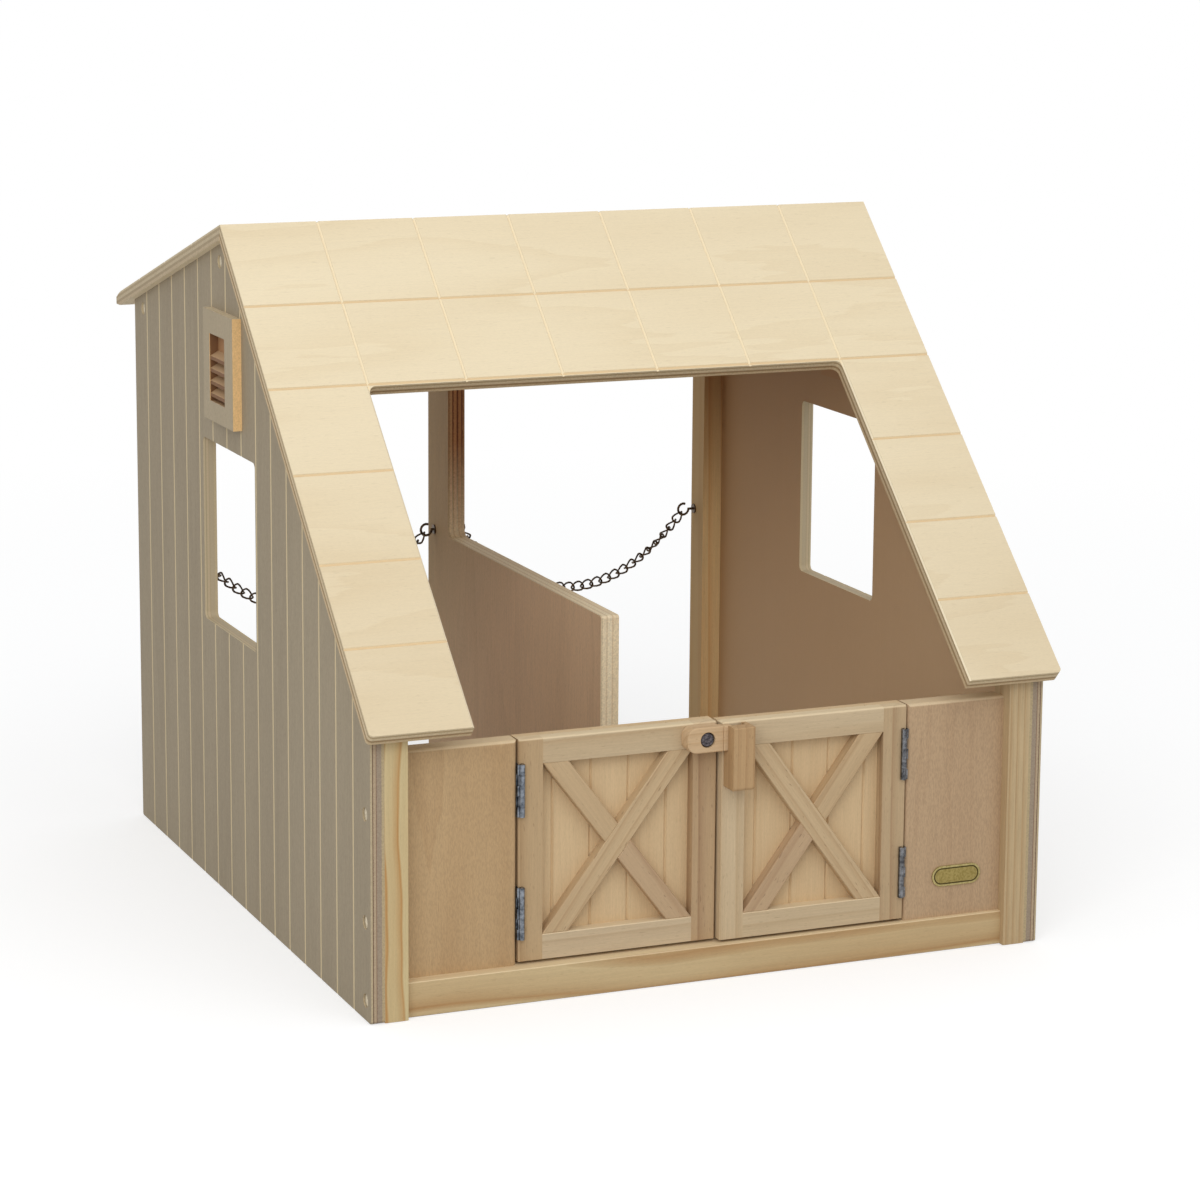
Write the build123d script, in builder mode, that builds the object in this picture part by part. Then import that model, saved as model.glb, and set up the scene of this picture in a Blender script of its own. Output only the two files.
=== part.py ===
from build123d import *
from math import asinh, ceil, cos, cosh, radians, sin, sinh, sqrt, tan
import os

# Wooden toy stable with two stalls, a lean-to roof with a cut-out over the front,
# and a pair of braced half doors. Millimetres, +Z up, the front faces -Y.
# The origin is at the bottom centre of the whole stable.

os.makedirs("parts", exist_ok=True)

# ---- driving dimensions -------------------------------------------------------
ply = 9.0                      # plywood of the walls and the roof
width = 457.2                  # over the side walls
depth = 508.0                  # of the side walls, front to back
stock = 15.0                   # square timber of the posts and rails
edge_break = 0.5               # eased edges of the timber
clearance = 0.3                # between pieces that move past each other
bore_clearance = 0.05          # round a pin, a screw or a hook's shank in its hole
bore_sides = 8                 # small bores and screw shanks are cut with this many flats
head_sides = 12                # screw heads, hinge barrels and hook flanges
sink_sides = 16                # sinks for screw heads

ridge_depth = 278.4            # outer ridge line, back from the walls' front edges
ridge_height = 456.1
front_pitch = 43.0             # degrees
back_pitch = 16.4
front_slope = 400.5            # outer length from the ridge to the front eave
back_overhang = 30.5           # level distance from the walls' back edges to the back eave
back_easing = 13.5             # level length of the rounded stretch at the back eave
back_easing_drop = 2.15        # that the rounding ends below the slope
back_eave_face = 4.8           # upright end of the back eave, above its level underside
roof_overhang = 5.2            # past each side wall
roof_board = 67.0              # from one long groove of the roof to the next
front_rows = (69.7, 137.8, 206.3, 275.1, 337.6)     # cross grooves, down from the ridge
back_rows = (69.7, 137.8, 206.3)
cutout_width = 335.0           # the roof's cut-out over the front
cutout_top = 139.4             # its upper edge, down from the ridge
cutout_radius = 5.0
leg_radius = 3.0               # lower corners of the roof's two legs
groove_depth = 1.1
wall_board = 31.75             # from one groove of a side wall to the next
wall_corner = 2.0              # lower corners of the side walls

window_front, window_back = 224.6, 341.0
window_bottom, window_top = 181.8, 306.8
window_radius = 4.0

post_depth = 20.0              # front posts
rear_post_depth = 21.5
rear_post_inset = 8.0          # from the walls' back edges
rear_rail_height = 23.3        # at its front
beam_setback = 11.6            # ridge beam, behind the ridge line
beam_height = 24.6             # at its front

divider_thickness = 13.0
divider_front = 175.0
divider_low_top = 199.0
divider_tall_reach = 12.5      # of the tall part, in front of the rear posts
divider_radius = 6.0

sill_front = 4.5
sill_depth = 22.0
sill_height = 22.0
left_setback, right_setback = 13.0, 8.0     # faces of the panels and doors, behind the walls' edges
left_hinge, right_hinge = -129.0, 134.9     # middles of the gaps beside the doors
meeting_line = 4.9             # middle of the gap between the doors
half_height = 164.8            # top of the panels and the doors
panel_thickness = 13.0
panel_round = 2.5

door_bottom = 24.0
door_gap = 1.4                 # between the doors
hinge_gap = 1.2                # between a door and its panel
frame_thickness = 8.0
board_thickness = 6.0
stile_width = 16.0
rail_height = 16.0
brace_cut = 17.0               # level length of a brace's cut ends
door_board = 25.4              # from one groove of a door's board to the next
door_round = 1.5

hinge_height = 33.3
hinge_from_top = 31.8          # middles of the hinges, from the door's top and bottom
hinge_from_bottom = 31.0
barrel_radius = 1.8
pin_radius = 0.9
leaf_thickness = 0.5
leaf_reach = 11.0              # from the axis to the leaf's inner edge
knuckle_gap = 0.15
knuckles = 5
axis_stand = 1.4               # the hinge axis, in front of the face
axis_shift = 2.4               # and from the middle of the gap towards the door

latch_reach = 11.5             # from the latch's screw to the middle of the doors' gap
latch_drop = 8.8               # of the screw, below the doors' top
latch_height = 16.2
latch_tail = 13.6              # from the screw to the arm's rounded end
latch_end_radius = 6.5         # corners of that end
latch_front = 2.3              # behind the walls' front edges
latch_rebate = 3.0             # length of the thin end that passes in front of the right door's plane
latch_screw_radius = 2.0
latch_head_radius = 4.6
latch_sink_radius = 5.0
latch_head_sides = 24
latch_sink_depth = 3.2
keeper_inset = 1.4             # from the right door's edge
keeper_width = 14.6
keeper_height = 40.4
keeper_projection = 15.0
keeper_wall = 9.0              # in front of the slot
keeper_cheek = 3.0
keeper_round = 2.5

screw_radius = 1.9
screw_head_radius = 4.0
screw_sink_radius = 4.4
screw_sink_depth = 3.0
screw_head_height = 2.0
screw_cover = 1.0               # of timber left beyond the screw's tip
post_screw_heights = (12.4, 61.6, 128.8)
screw_rise = 10.8              # above the underside of the beam and of the rail

vent_thickness = 6.0
vent_width = 65.5
vent_height = 73.5
vent_shift = 5.85              # of its middle, behind the ridge line
vent_drop = 58.6               # of its top, below the ridge
louvre_front_margin, louvre_back_margin = 18.1, 14.0
louvre_bottom_margin, louvre_top_margin = 13.0, 15.5
louvre_count = 4
louvre_thickness = 2.4
louvre_first = 12.0            # the top opening is taller than the rest

hook_inset = 5.0               # hooks and chains, in front of the rear posts' back faces
post_hook_height, divider_hook_height = 201.4, 199.6
post_hook_reach, divider_hook_reach = 9.0, 6.4     # from the timber's face to the middle of the loop
hook_radius = 4.3              # of the loop's centre line
hook_wire = 0.95
hook_flange = 3.6
eye_sweep, cup_sweep = 345, 290   # degrees of the loop that the wire covers
loop_bends = 12                # straight steps that the wire's loop is bent in
hook_wire_sides = 6
hook_shank = 6.4               # sunk in the timber
chain_sag = 52.7               # from the middles of the hooks' loops to the lowest link
chain_roll = 234               # degrees that the links turn about the chain from hook to hook
link_pitch = 7.5
link_wire = 0.85               # to the corners of the four-sided wire
link_inside = 3.4
link_play = 0.3
link_twist = 90                # degrees between the two ends of a link

# ---- worked-out sizes ----------------------------------------------------------
half = width / 2
inside = half - ply
post_inner = inside - stock
eave_depth = ridge_depth - front_slope * cos(radians(front_pitch))
eave_height = ridge_height - front_slope * sin(radians(front_pitch))
back_reach = depth + back_overhang
wall_front = -(eave_depth + back_reach) / 2      # Y of the walls' front edges
roof_half = half + roof_overhang


def front_underside(level):
    """Height of the front roof panel's underside, at a distance behind the walls' front edges."""
    drop = ply / cos(radians(front_pitch))
    return ridge_height - drop + (level - ridge_depth) * tan(radians(front_pitch))


def back_top(level):
    return ridge_height - (level - ridge_depth) * tan(radians(back_pitch))


def back_underside(level):
    return back_top(level) - ply / cos(radians(back_pitch))


# The two undersides meet at the inner apex.
apex_shift = (back_underside(ridge_depth) - front_underside(ridge_depth)) / (
    tan(radians(front_pitch)) + tan(radians(back_pitch))
)
apex_depth = ridge_depth + apex_shift
apex_height = front_underside(apex_depth)

# Levels count back from the walls' front edges.
beam_front = ridge_depth + beam_setback
beam_back = beam_front + stock
beam_bottom = back_underside(beam_front) - beam_height
rear_post_back = depth - rear_post_inset
rear_post_front = rear_post_back - rear_post_depth
rail_front = rear_post_front
rail_back = rail_front + stock
rail_bottom = back_underside(rail_front) - rear_rail_height
divider_tall_front = rear_post_front - divider_tall_reach
hook_line = wall_front + rear_post_back - hook_inset

screw_places = [(post_depth / 2, height) for height in post_screw_heights]
screw_places.append((beam_front + stock / 2, beam_bottom + screw_rise))
screw_places.append((rail_front + stock / 2, rail_bottom + screw_rise))
screw_length = ply - screw_sink_depth + stock - screw_cover


def side_profile(*points):
    """Face of straight runs through (distance behind the walls' front edges, height) points."""
    with BuildLine() as outline:
        Polyline(*[(wall_front + level, height) for level, height in points], close=True)
    make_face(outline.edges())


def screw_holes(radius, plane, length, sides):
    with BuildSketch(plane) as holes:
        with Locations(*[(wall_front + level, height) for level, height in screw_places]):
            RegularPolygon(radius, sides)
    extrude(holes.sketch, amount=length, mode=Mode.SUBTRACT)


# ---- side walls ------------------------------------------------------------------
def side_wall(side, name):
    outer = Plane.YZ.offset(side * half)
    with BuildPart() as wall:
        with BuildSketch(outer) as profile:
            side_profile(
                (0, 0),
                (depth, 0),
                (depth, back_underside(depth)),
                (apex_depth, apex_height),
                (0, front_underside(0)),
            )
            fillet(profile.vertices().sort_by(Axis.Y)[:2], wall_corner)
            with BuildSketch(mode=Mode.PRIVATE) as window:
                middle = wall_front + (window_front + window_back) / 2
                with Locations((middle, (window_bottom + window_top) / 2)):
                    RectangleRounded(window_back - window_front, window_top - window_bottom, window_radius)
            add(window.sketch, mode=Mode.SUBTRACT)
        extrude(amount=-side * ply)
        # V-grooves that divide the outer face into boards.
        with BuildSketch(Plane.XY):
            count = ceil(depth / wall_board) - 1
            with Locations(*[(side * half, wall_front + wall_board * (k + 1)) for k in range(count)]):
                Rectangle(groove_depth * sqrt(2), groove_depth * sqrt(2), rotation=45)
        extrude(amount=ridge_height, mode=Mode.SUBTRACT)
        screw_holes(screw_sink_radius, outer, -side * screw_sink_depth, sink_sides)
        screw_holes(screw_radius + bore_clearance, outer, -side * ply, bore_sides)
    wall.part.label = name
    export_step(wall.part, f"parts/{name}.step")


side_wall(-1, "left_side_wall")
side_wall(1, "right_side_wall")

# Countersunk screws through the walls into the front posts, the beam and the rail.
with BuildPart() as screws:
    for side in (-1, 1):
        seat = side * (half - screw_sink_depth)
        for level, height in screw_places:
            head = Plane(origin=(seat, wall_front + level, height), z_dir=(side, 0, 0))
            with BuildSketch(head):
                RegularPolygon(screw_head_radius, head_sides)
            extrude(amount=screw_head_height)
            with BuildSketch(head):
                RegularPolygon(screw_radius, bore_sides)
            extrude(amount=-screw_length)
screws.part.label = "wall_screws"
export_step(screws.part, "parts/wall_screws.step")


# ---- roof --------------------------------------------------------------------------
down_front = (0, -cos(radians(front_pitch)), -sin(radians(front_pitch)))
up_front = (0, -sin(radians(front_pitch)), cos(radians(front_pitch)))
down_back = (0, cos(radians(back_pitch)), -sin(radians(back_pitch)))
ridge = (0, wall_front + ridge_depth, ridge_height)


def roof_grooves(down, length, rows):
    """V-grooves on a roof panel's outer face: between the columns, and across at the rows."""
    groove = groove_depth * sqrt(2)
    with BuildSketch(Plane(origin=ridge, x_dir=(1, 0, 0), z_dir=down)) as long_grooves:
        count = ceil(roof_half / roof_board - 0.5)
        for k in range(count):
            with Locations((-roof_board * (k + 0.5), 0), (roof_board * (k + 0.5), 0)):
                Rectangle(groove, groove, rotation=45)
    extrude(long_grooves.sketch, amount=length, mode=Mode.SUBTRACT)
    start = Plane(origin=(-roof_half, ridge[1], ridge[2]), x_dir=down, z_dir=(1, 0, 0))
    with BuildSketch(start) as cross_grooves:
        with Locations(*[(row, 0) for row in rows]):
            Rectangle(groove, groove, rotation=45)
    extrude(cross_grooves.sketch, amount=2 * roof_half, mode=Mode.SUBTRACT)


with BuildPart() as roof_front:
    with BuildSketch(Plane.YZ.offset(-roof_half)):
        side_profile(
            (ridge_depth, ridge_height),
            (eave_depth, eave_height),
            (
                eave_depth + ply * sin(radians(front_pitch)),
                eave_height - ply * cos(radians(front_pitch)),
            ),
            (apex_depth, apex_height),
        )
    extrude(amount=2 * roof_half)
    slope = Plane(origin=ridge, x_dir=(1, 0, 0), z_dir=up_front)
    with BuildSketch(slope) as opening:
        with BuildLine():
            Polyline(
                (-cutout_width / 2, -2 * front_slope),
                (-cutout_width / 2, -cutout_top),
                (cutout_width / 2, -cutout_top),
                (cutout_width / 2, -2 * front_slope),
                close=True,
            )
        make_face()
        fillet(opening.vertices().sort_by(Axis.Y)[-2:], cutout_radius)
    extrude(amount=ply, both=True, mode=Mode.SUBTRACT)
    roof_grooves(down_front, front_slope, front_rows)
    leg_corners = roof_front.edges().filter_by(lambda e: abs(e.length - ply) < 0.01)
    fillet(leg_corners.group_by(Axis.Z)[0], leg_radius)
roof_front.part.label = "roof_front_panel"
export_step(roof_front.part, "parts/roof_front_panel.step")

with BuildPart() as roof_back:
    with BuildSketch(Plane.YZ.offset(-roof_half)):
        easing_start = back_reach - back_easing
        eave_top = back_top(back_reach) - back_easing_drop
        eave_bottom = eave_top - back_eave_face
        undercut = ridge_depth + (back_underside(ridge_depth) - eave_bottom) / tan(radians(back_pitch))
        with BuildLine():
            top = Line(
                (wall_front + ridge_depth, ridge_height),
                (wall_front + easing_start, back_top(easing_start)),
            )
            TangentArc(top @ 1, (wall_front + back_reach, eave_top), tangent=top % 1)
            Polyline(
                (wall_front + back_reach, eave_top),
                (wall_front + back_reach, eave_bottom),
                (wall_front + undercut, eave_bottom),
                (wall_front + apex_depth, apex_height),
                (wall_front + ridge_depth, ridge_height),
            )
        make_face()
    extrude(amount=2 * roof_half)
    back_slope = (back_reach - ridge_depth) / cos(radians(back_pitch))
    roof_grooves(down_back, back_slope, back_rows)
roof_back.part.label = "roof_back_panel"
export_step(roof_back.part, "parts/roof_back_panel.step")


# ---- beam, rail, posts, divider and sill ------------------------------------------------
def timber(name, start, length, *points):
    """Straight timber along X, of a side profile, with pilot holes for the wall screws."""
    with BuildPart() as piece:
        with BuildSketch(Plane.YZ.offset(start)):
            side_profile(*points)
        extrude(amount=length)
        screw_reach = screw_sink_depth + screw_length + bore_clearance
        screw_holes(screw_radius + bore_clearance, Plane.YZ.offset(-half), screw_reach, bore_sides)
        screw_holes(screw_radius + bore_clearance, Plane.YZ.offset(half), -screw_reach, bore_sides)
    piece.part.label = name
    export_step(piece.part, f"parts/{name}.step")


timber(
    "ridge_beam",
    -inside,
    2 * inside,
    (beam_front, beam_bottom),
    (beam_back, beam_bottom),
    (beam_back, back_underside(beam_back)),
    (beam_front, back_underside(beam_front)),
)
timber(
    "rear_top_rail",
    -inside,
    2 * inside,
    (rail_front, rail_bottom),
    (rail_back, rail_bottom),
    (rail_back, back_underside(rail_back)),
    (rail_front, back_underside(rail_front)),
)
for name, start in (("front_left_post", -inside), ("front_right_post", post_inner)):
    timber(
        name,
        start,
        stock,
        (0, 0),
        (post_depth, 0),
        (post_depth, front_underside(post_depth)),
        (0, front_underside(0)),
    )


def hook_pilot(face, direction, height):
    """Pilot hole for a hook's shank, into a face that looks along direction in X."""
    start = Plane(origin=(face, hook_line, height), z_dir=(-direction, 0, 0))
    with BuildSketch(start) as pilot:
        RegularPolygon(hook_wire + bore_clearance, hook_wire_sides)
    extrude(pilot.sketch, amount=hook_shank + bore_clearance, mode=Mode.SUBTRACT)


for name, side in (("rear_left_post", -1), ("rear_right_post", 1)):
    with BuildPart() as rear_post:
        with BuildSketch(Plane.YZ.offset(side * post_inner)):
            side_profile(
                (rear_post_front, 0),
                (rear_post_back, 0),
                (rear_post_back, rail_bottom),
                (rear_post_front, rail_bottom),
            )
        extrude(amount=side * stock)
        hook_pilot(side * post_inner, -side, post_hook_height)
    rear_post.part.label = name
    export_step(rear_post.part, f"parts/{name}.step")

with BuildPart() as divider:
    with BuildSketch(Plane.YZ.offset(-divider_thickness / 2)) as divider_profile:
        side_profile(
            (divider_front, 0),
            (depth, 0),
            (depth, back_underside(depth)),
            (rail_back, back_underside(rail_back)),
            (rail_back, rail_bottom),
            (rail_front, rail_bottom),
            (rail_front, back_underside(rail_front)),
            (divider_tall_front, back_underside(divider_tall_front)),
            (divider_tall_front, divider_low_top),
            (divider_front, divider_low_top),
        )
        inner_corner = (wall_front + divider_tall_front, divider_low_top)
        fillet(divider_profile.vertices().sort_by_distance(inner_corner)[0], divider_radius)
        front_corner = (wall_front + divider_front, divider_low_top)
        fillet(divider_profile.vertices().sort_by_distance(front_corner)[0], wall_corner)
    extrude(amount=divider_thickness)
    hook_pilot(-divider_thickness / 2, -1, divider_hook_height)
    hook_pilot(divider_thickness / 2, 1, divider_hook_height)
divider.part.label = "stall_divider"
export_step(divider.part, "parts/stall_divider.step")

with BuildPart(Plane.XY) as sill:
    with BuildSketch(Plane.YZ.offset(-post_inner)):
        side_profile(
            (sill_front, 0),
            (sill_front + sill_depth, 0),
            (sill_front + sill_depth, sill_height),
            (sill_front, sill_height),
        )
    extrude(amount=2 * post_inner)
    chamfer(sill.edges().filter_by(Axis.X), edge_break)
sill.part.label = "front_sill"
export_step(sill.part, "parts/front_sill.step")

# ---- hinged front: both halves share one set of functions ---------------------------------
setbacks = {-1: left_setback, 1: right_setback}
hinge_lines = {-1: left_hinge, 1: right_hinge}
side_names = {-1: "left", 1: "right"}
hinge_levels = (half_height - hinge_from_top, door_bottom + hinge_from_bottom)
barrel_relief = barrel_radius + clearance
hinge_axes = {side: hinge_lines[side] - side * axis_shift for side in (-1, 1)}


def span(x_from, x_to):
    return min(x_from, x_to), abs(x_to - x_from)


def upright_plane(level):
    """Plane facing the front, at a distance behind the walls' front edges; local X is X, local Y is Z."""
    return Plane.XZ.offset(-(wall_front + level))


def hinge_relief(side):
    """Round-bottomed notches that take the hinge barrels."""
    axis_level = wall_front + setbacks[side] - axis_stand
    for level in hinge_levels:
        with BuildSketch(Plane.XY.offset(level - hinge_height / 2 - clearance)) as notch:
            with Locations((hinge_axes[side], axis_level)):
                Circle(barrel_relief)
        extrude(notch.sketch, amount=hinge_height + 2 * clearance, mode=Mode.SUBTRACT)


def upright_board(x_from, x_to, bottom, top, level, thickness):
    """Board standing behind a face, at a distance behind the walls' front edges."""
    start, length = span(x_from, x_to)
    with BuildSketch(upright_plane(level)) as outline:
        with Locations((start + length / 2, (bottom + top) / 2)):
            Rectangle(length, top - bottom)
    extrude(outline.sketch, amount=-thickness)


def front_panel(side):
    name = f"front_{side_names[side]}_panel"
    level = setbacks[side]
    with BuildPart() as panel:
        inner = hinge_lines[side] + side * hinge_gap / 2
        upright_board(inner, side * post_inner, sill_height, half_height, level, panel_thickness)
        front_edges = panel.edges().group_by(Axis.Y)[0]
        top_edge = front_edges.filter_by(Axis.X).sort_by(Axis.Z)[-1]
        hinge_edge = front_edges.filter_by(Axis.Z).sort_by(Axis.X)[0 if side > 0 else -1]
        fillet([top_edge, hinge_edge], panel_round)
    panel.part.label = name
    export_step(panel.part, f"parts/{name}.step")


def door(side):
    """Ledged door: a grooved board behind a frame of two stiles, two rails and crossed braces."""
    prefix = f"{side_names[side]}_door"
    face = setbacks[side]
    board_face = face + frame_thickness
    hinge_edge = hinge_lines[side] - side * hinge_gap / 2
    meeting_edge = meeting_line + side * door_gap / 2
    inner_hinge = hinge_edge - side * stile_width
    inner_meeting = meeting_edge + side * stile_width
    lower, upper = door_bottom + rail_height, half_height - rail_height

    with BuildPart() as board:
        upright_board(hinge_edge, meeting_edge, door_bottom, half_height, board_face, board_thickness)
        with BuildSketch(Plane.XY.offset(door_bottom)):
            count = int(abs(hinge_edge - meeting_edge) / door_board)
            first = hinge_edge - side * door_board
            with Locations(*[(first - side * door_board * k, wall_front + board_face) for k in range(count)]):
                Rectangle(groove_depth * sqrt(2), groove_depth * sqrt(2), rotation=45)
        extrude(amount=half_height - door_bottom, mode=Mode.SUBTRACT)
        if side < 0:
            latch_screw_hole(latch_screw_radius + bore_clearance)
    board.part.label = f"{prefix}_board"
    export_step(board.part, f"parts/{prefix}_board.step")

    for role, x_from, x_to in (
        ("hinge_stile", hinge_edge, inner_hinge),
        ("meeting_stile", inner_meeting, meeting_edge),
    ):
        with BuildPart() as stile:
            upright_board(x_from, x_to, door_bottom, half_height, face, frame_thickness)
            front_edges = stile.edges().group_by(Axis.Y)[0]
            fillet(front_edges.filter_by(Axis.X).sort_by(Axis.Z)[-1], door_round)
            outer_edges = stile.edges().group_by(Axis.Y)[0].filter_by(Axis.Z).sort_by(Axis.X)
            outermost = outer_edges[-1] if x_to > x_from else outer_edges[0]
            if role == "meeting_stile":
                chamfer(outermost, edge_break)
                if side < 0:
                    latch_screw_hole(latch_screw_radius + bore_clearance)
            else:
                hinge_relief(side)
        stile.part.label = f"{prefix}_{role}"
        export_step(stile.part, f"parts/{prefix}_{role}.step")

    for role, bottom, top in (("bottom_rail", door_bottom, lower), ("top_rail", upper, half_height)):
        with BuildPart() as rail:
            upright_board(inner_hinge, inner_meeting, bottom, top, face, frame_thickness)
            if role == "top_rail":
                fillet(rail.edges().group_by(Axis.Y)[0].sort_by(Axis.Z)[-1], door_round)
            else:
                chamfer(rail.edges().group_by(Axis.Y)[0].sort_by(Axis.Z)[-1], edge_break)
        rail.part.label = f"{prefix}_{role}"
        export_step(rail.part, f"parts/{prefix}_{role}.step")

    def brace_outline(x_low, x_high, mode):
        """Brace from the lower corner x_low to the upper corner x_high, cut level at both ends."""
        toward = 1 if x_high > x_low else -1
        with BuildLine() as outline:
            Polyline(
                (x_low, lower),
                (x_low + toward * brace_cut, lower),
                (x_high, upper),
                (x_high - toward * brace_cut, upper),
                close=True,
            )
        make_face(outline.edges(), mode=mode)

    with BuildPart() as long_brace:
        with BuildSketch(upright_plane(board_face)):
            brace_outline(inner_hinge, inner_meeting, Mode.ADD)
        extrude(amount=frame_thickness)
        chamfer(long_brace.edges().group_by(Axis.Y)[0], edge_break)
    long_brace.part.label = f"{prefix}_long_brace"
    export_step(long_brace.part, f"parts/{prefix}_long_brace.step")

    # The other diagonal is two short braces that butt against the long one.
    for role, place in (("lower_short_brace", 0), ("upper_short_brace", -1)):
        with BuildPart() as short_brace:
            with BuildSketch(upright_plane(board_face), mode=Mode.PRIVATE) as halves:
                brace_outline(inner_meeting, inner_hinge, Mode.ADD)
                brace_outline(inner_hinge, inner_meeting, Mode.SUBTRACT)
            extrude(halves.sketch.faces().sort_by(Axis.Z)[place], amount=frame_thickness)
            chamfer(short_brace.edges().group_by(Axis.Y)[0], edge_break)
        short_brace.part.label = f"{prefix}_{role}"
        export_step(short_brace.part, f"parts/{prefix}_{role}.step")


latch_centre_x = meeting_line - latch_reach
latch_centre_z = half_height - latch_drop


def latch_screw_hole(radius):
    with BuildSketch(upright_plane(0)) as hole:
        with Locations((latch_centre_x, latch_centre_z)):
            Circle(radius)
    extrude(hole.sketch, amount=-2 * stile_width, mode=Mode.SUBTRACT)


# ---- butt hinges: leaves in the gap, barrel in front of the face ----------------------------
def hinge(side, place, level):
    prefix = f"{side_names[side]}_{place}_hinge"
    x = hinge_axes[side]
    y = wall_front + setbacks[side] - axis_stand
    pitch = hinge_height / knuckles
    bottom = level - hinge_height / 2

    for role, toward, first in (("frame_leaf", side, 0), ("door_leaf", -side, 1)):
        with BuildPart() as leaf:
            outer = hinge_lines[side] + toward * hinge_gap / 2
            inner = outer - toward * leaf_thickness
            start, length = span(outer, inner)
            # The knuckles' wrap bridges from the leaf to the middle of the barrel's wall.
            far_face = side * max(side * outer, side * inner)
            wrap, wrap_width = span(far_face, x + side * (barrel_radius + pin_radius) / 2)
            with BuildSketch(Plane.XY.offset(bottom)):
                with Locations((start + length / 2, y + (barrel_relief + leaf_reach) / 2)):
                    Rectangle(length, leaf_reach - barrel_relief)
            extrude(amount=hinge_height)
            for k in range(first, knuckles, 2):
                low = bottom + k * pitch + knuckle_gap / 2
                with BuildSketch(Plane.XY.offset(low)):
                    with Locations((x, y)):
                        RegularPolygon(barrel_radius, head_sides)
                    with Locations((wrap + wrap_width / 2, y + leaf_thickness / 2)):
                        Rectangle(wrap_width, leaf_thickness)
                    with Locations((start + length / 2, y + barrel_relief / 2)):
                        Rectangle(length, barrel_relief)
                    with Locations((x, y)):
                        RegularPolygon(
                            pin_radius + bore_clearance, bore_sides, major_radius=False, mode=Mode.SUBTRACT
                        )
                extrude(amount=pitch - knuckle_gap)
        leaf.part.label = f"{prefix}_{role}"
        export_step(leaf.part, f"parts/{prefix}_{role}.step")

    with BuildPart() as pin:
        with BuildSketch(Plane.XY.offset(bottom)):
            with Locations((x, y)):
                Circle(pin_radius)
        extrude(amount=hinge_height)
    pin.part.label = f"{prefix}_pin"
    export_step(pin.part, f"parts/{prefix}_pin.step")


for side in (-1, 1):
    front_panel(side)
    door(side)
    for place, level in zip(("upper", "lower"), hinge_levels):
        hinge(side, place, level)

# ---- turn-button latch --------------------------------------------------------------------
latch_bottom = latch_centre_z - latch_height / 2
latch_tip = meeting_line - door_gap / 2
latch_step = meeting_line - latch_rebate
latch_left_end = latch_centre_x - latch_tail
latch_back = left_setback - clearance
latch_thin_back = right_setback - clearance

with BuildPart() as latch_arm:
    with BuildSketch(upright_plane(latch_back)) as handle:
        with Locations(((latch_left_end + latch_step) / 2, latch_centre_z)):
            Rectangle(latch_step - latch_left_end, latch_height)
        fillet(handle.vertices().sort_by(Axis.X)[:2], latch_end_radius)
    extrude(amount=latch_back - latch_front)
    with BuildSketch(upright_plane(latch_thin_back)):
        with Locations(((latch_step + latch_tip) / 2, latch_centre_z)):
            Rectangle(latch_tip - latch_step, latch_height)
    extrude(amount=latch_thin_back - latch_front)
    chamfer(latch_arm.edges().group_by(Axis.Y)[0], edge_break)
    with BuildSketch(upright_plane(latch_front)):
        with Locations((latch_centre_x, latch_centre_z)):
            RegularPolygon(latch_sink_radius, latch_head_sides)
    extrude(amount=-latch_sink_depth, mode=Mode.SUBTRACT)
    latch_screw_hole(latch_screw_radius + bore_clearance)
latch_arm.part.label = "latch_arm"
export_step(latch_arm.part, "parts/latch_arm.step")

with BuildPart() as latch_screw:
    head_seat = latch_front + latch_sink_depth - bore_clearance
    with BuildSketch(upright_plane(head_seat)):
        with Locations((latch_centre_x, latch_centre_z)):
            RegularPolygon(latch_head_radius, latch_head_sides)
    extrude(amount=latch_sink_depth - 2 * edge_break)
    chamfer(latch_screw.edges().group_by(Axis.Y)[0], edge_break)
    with BuildSketch(upright_plane(head_seat)):
        with Locations((latch_centre_x, latch_centre_z)):
            Circle(latch_screw_radius)
    extrude(amount=-(left_setback + frame_thickness + board_thickness - 1 - head_seat))
latch_screw.part.label = "latch_screw"
export_step(latch_screw.part, "parts/latch_screw.step")

with BuildPart() as keeper:
    keeper_left = meeting_line + door_gap / 2 + keeper_inset
    keeper_top = latch_bottom + latch_height
    keeper_front = right_setback - keeper_projection
    with BuildSketch(upright_plane(right_setback)):
        with Locations((keeper_left + keeper_width / 2, keeper_top - keeper_height / 2)):
            Rectangle(keeper_width, keeper_height)
    extrude(amount=keeper_projection)
    fillet(keeper.edges().group_by(Axis.Z)[0].filter_by(Axis.X).sort_by(Axis.Y)[0], keeper_round)
    chamfer(keeper.edges().group_by(Axis.Y)[0], edge_break)
    # Slot for the tip of the arm, open to the left and at the top.
    with BuildSketch(upright_plane(right_setback)):
        slot_bottom = latch_bottom - clearance
        slot_width = keeper_width - keeper_cheek
        with Locations((keeper_left + slot_width / 2, (slot_bottom + keeper_top) / 2)):
            Rectangle(slot_width, keeper_top - slot_bottom)
    extrude(amount=keeper_projection - keeper_wall, mode=Mode.SUBTRACT)
keeper.part.label = "latch_keeper"
export_step(keeper.part, "parts/latch_keeper.step")


# ---- louvred gable vents ----------------------------------------------------------------
vent_middle = ridge_depth + vent_shift
vent_top = ridge_height - vent_drop
vent_bottom = vent_top - vent_height
louvre_front = vent_middle - vent_width / 2 + louvre_front_margin
louvre_back = vent_middle + vent_width / 2 - louvre_back_margin
louvre_bottom = vent_bottom + louvre_bottom_margin
louvre_top = vent_top - louvre_top_margin


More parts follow.
